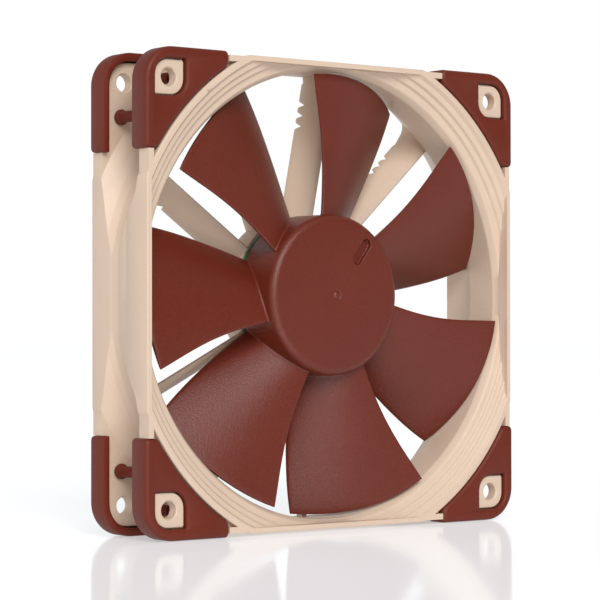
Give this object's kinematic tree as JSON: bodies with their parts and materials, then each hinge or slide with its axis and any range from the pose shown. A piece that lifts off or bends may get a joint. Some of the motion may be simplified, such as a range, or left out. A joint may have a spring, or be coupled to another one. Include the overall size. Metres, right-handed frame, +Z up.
{
  "type": "case fan",
  "caption": "Square axial case fan with a stepped round inlet, swept blades, notched guide vanes behind them, and soft corner pads.",
  "frame": {"origin": "centre of the whole fan, on the spin axis and midway through its depth", "axes": "+Z up as it stands on its lower edge, -Y towards the intake side, the spin axis along Y"},
  "size_m": [0.12, 0.025, 0.12],
  "materials": {
    "cream_plastic": "satin moulded",
    "brown_plastic": "satin moulded, fine grain",
    "brown_rubber": "matt moulded",
    "steel": "ground",
    "brass": "turned",
    "ferrite": "sintered",
    "nylon": "moulded",
    "laminations": "stamped stack",
    "copper_wire": "enamelled copper",
    "circuit_board": "solder mask",
    "chip_body": "moulded",
    "capacitor_can": "drawn",
    "label": "blank film"
  },
  "bodies": {
    "frame": {"frame": "cream_plastic", "front_pad_upper_left": "brown_rubber", "front_pad_upper_right": "brown_rubber", "front_pad_lower_left": "brown_rubber", "front_pad_lower_right": "brown_rubber", "rear_pad_upper_left": "brown_rubber", "rear_pad_upper_right": "brown_rubber", "rear_pad_lower_left": "brown_rubber", "rear_pad_lower_right": "brown_rubber", "bearing_tube": "brass", "sleeve_bearing": "steel", "oil_seal": "nylon", "thrust_pad": "nylon", "stabilising_magnet": "ferrite", "stator_core": "laminations", "front_insulator": "nylon", "rear_insulator": "nylon", "coil_1": "copper_wire", "coil_2": "copper_wire", "coil_3": "copper_wire", "coil_4": "copper_wire", "circuit_board": "circuit_board", "driver_chip": "chip_body", "hall_sensor": "chip_body", "capacitor": "capacitor_can", "rear_label": "label"},
    "impeller": {"impeller": "brown_plastic", "rotor_yoke": "steel", "magnet_ring": "ferrite", "shaft": "steel", "shaft_bushing": "brass", "shaft_clip": "nylon"}
  },
  "joints": [
    {"name": "impeller_spin", "type": "hinge", "parent": "frame", "child": "impeller", "pos_m": [0, 0, 0], "axis": [0, -1, 0], "continuous": true}
  ]
}
